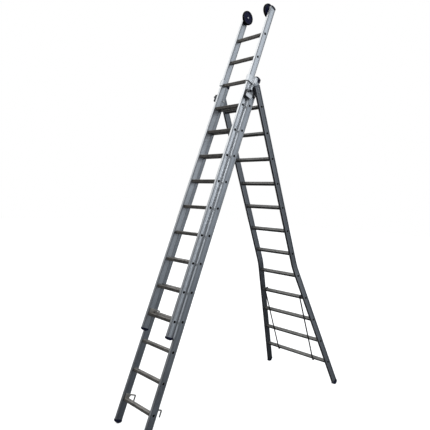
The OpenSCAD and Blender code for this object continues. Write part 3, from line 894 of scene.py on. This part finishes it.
def glow_ramp(tree, height, stops):
    """Colour by height, the sine of the elevation mapped to 0 to 1."""
    ramp = tree.nodes.new("ShaderNodeValToRGB")
    elements = ramp.color_ramp.elements
    elements.remove(elements[1])
    for index, (elevation, colour) in enumerate(stops):
        position = (math.sin(math.radians(elevation)) + 1) / 2
        element = elements[0] if index == 0 else elements.new(position)
        element.position = position
        element.color = (*(channel / CEILING for channel in colour), 1)
    tree.links.new(height, ramp.inputs["Fac"])
    return ramp.outputs["Color"]


def toward(tree, direction, aim, low, high):
    """How far a direction points towards aim, smoothly from 0 at low to 1 at high."""
    dot = tree.nodes.new("ShaderNodeVectorMath")
    dot.operation = "DOT_PRODUCT"
    dot.inputs[1].default_value = (*aim, 0)
    smooth = tree.nodes.new("ShaderNodeMapRange")
    smooth.interpolation_type = "SMOOTHSTEP"
    smooth.inputs["From Min"].default_value = low
    smooth.inputs["From Max"].default_value = high
    tree.links.new(direction, dot.inputs[0])
    tree.links.new(dot.outputs["Value"], smooth.inputs["Value"])
    return smooth.outputs["Result"]


def make_world():
    """White as the camera sees it. As light: the left glow, the right one, a dark back."""
    world = bpy.data.worlds.new("studio")
    world.use_nodes = True
    scene.world = world
    tree = world.node_tree
    tree.nodes.clear()
    link = tree.links.new
    place = tree.nodes.new("ShaderNodeTexCoord")
    split = tree.nodes.new("ShaderNodeSeparateXYZ")
    height = tree.nodes.new("ShaderNodeMapRange")
    height.inputs["From Min"].default_value = -1
    link(place.outputs["Generated"], split.inputs["Vector"])
    link(split.outputs["Z"], height.inputs["Value"])
    across = toward(tree, place.outputs["Generated"], SCREEN_RIGHT, -0.5, 0.5)
    behind = toward(tree, place.outputs["Generated"], SCREEN_AWAY, 0.6, 0.88)

    glow = tree.nodes.new("ShaderNodeMix")
    glow.data_type = "RGBA"
    link(across, glow.inputs["Factor"])
    link(glow_ramp(tree, height.outputs["Result"], LEFT_GLOW), glow.inputs[6])
    link(glow_ramp(tree, height.outputs["Result"], RIGHT_GLOW), glow.inputs[7])
    hall = tree.nodes.new("ShaderNodeMix")
    hall.data_type = "RGBA"
    hall.inputs[7].default_value = (*BEHIND_DARK, 1)
    link(behind, hall.inputs["Factor"])
    link(glow.outputs[2], hall.inputs[6])

    seen = tree.nodes.new("ShaderNodeBackground")
    seen.inputs["Color"].default_value = (1, 1, 1, 1)
    light = tree.nodes.new("ShaderNodeBackground")
    light.inputs["Strength"].default_value = CEILING
    link(hall.outputs[2], light.inputs["Color"])
    path = tree.nodes.new("ShaderNodeLightPath")
    mix = tree.nodes.new("ShaderNodeMixShader")
    out = tree.nodes.new("ShaderNodeOutputWorld")
    link(path.outputs["Is Camera Ray"], mix.inputs["Fac"])
    link(light.outputs["Background"], mix.inputs[1])
    link(seen.outputs["Background"], mix.inputs[2])
    link(mix.outputs["Shader"], out.inputs["Surface"])


def area_light(name, place, target, width, height, power, colour=(1, 1, 1)):
    """A rectangular light at a place, turned towards a target."""
    data = bpy.data.lights.new(name, "AREA")
    data.shape = "RECTANGLE"
    data.size = width
    data.size_y = height
    data.energy = power
    data.color = colour
    lamp = bpy.data.objects.new(name, data)
    scene.collection.objects.link(lamp)
    lamp.location = place
    lamp.rotation_mode = "QUATERNION"
    lamp.rotation_quaternion = (Vector(target) - Vector(place)).to_track_quat("-Z", "Y")


def make_lights():
    """Two soft lights in front of the ladder, one behind it and one to its right."""
    area_light("key_front_left", (-3.4, -3.4, 6.6), (0, -0.2, 2.8), 3.0, 3.0, 20)
    area_light("softbox_front", (3.9, -3.7, 6.0), (0, -0.1, 2.4), 1.6, 3.6, 55)
    area_light("fill_behind", (-4.6, 4.2, 3.4), (0, 0.3, 1.9), 3.0, 3.0, 45)
    area_light("fill_right", (4.6, 2.2, 5.6), (0, 0.1, 2.6), 3.0, 3.0, 8, (0.93, 0.96, 1.0))


# The camera's bearing round the ladder from its front, its downward tilt and its roll
CAMERA_AZIMUTH = math.radians(46.456)
CAMERA_ELEVATION = math.radians(1.7355)
CAMERA_ROLL = math.radians(2.581)
CAMERA_PLACE = Vector((3.143, -3.299, 1.901))
CAMERA_LENS = 39.475


def make_camera():
    """Camera at half the ladder's height, to its front and right, rolled a little."""
    data = bpy.data.cameras.new("camera")
    data.lens = CAMERA_LENS
    data.sensor_width = 36
    data.clip_end = 200
    camera = bpy.data.objects.new("camera", data)
    scene.collection.objects.link(camera)
    scene.camera = camera
    azimuth, elevation, roll = CAMERA_AZIMUTH, CAMERA_ELEVATION, CAMERA_ROLL
    back = Vector((
        math.sin(azimuth) * math.cos(elevation),
        -math.cos(azimuth) * math.cos(elevation),
        math.sin(elevation),
    ))
    level = Vector((math.cos(azimuth), math.sin(azimuth), 0))
    above = back.cross(level)
    right = level * math.cos(roll) + above * math.sin(roll)
    up = above * math.cos(roll) - level * math.sin(roll)
    turn = Matrix((right, up, back)).transposed()
    camera.matrix_world = Matrix.Translation(CAMERA_PLACE) @ turn.to_4x4()


scene.view_settings.view_transform = "Standard"
make_camera()
make_world()
make_floor()
make_lights()
for node in nodes:
    dress(node)
make_treads()
make_discs()
make_axles()
make_rivets("middle_rivets", "middle", "middle_rivet_detail", "rivet_aluminium")
make_rivets("base_rivets", "base", "base_rivet_detail", "rivet_aluminium")
make_hinge_bolts()
make_blocks()
make_knobs()
make_straps()
for node, width in SOFT_EDGES.items():
    softened(node, width)
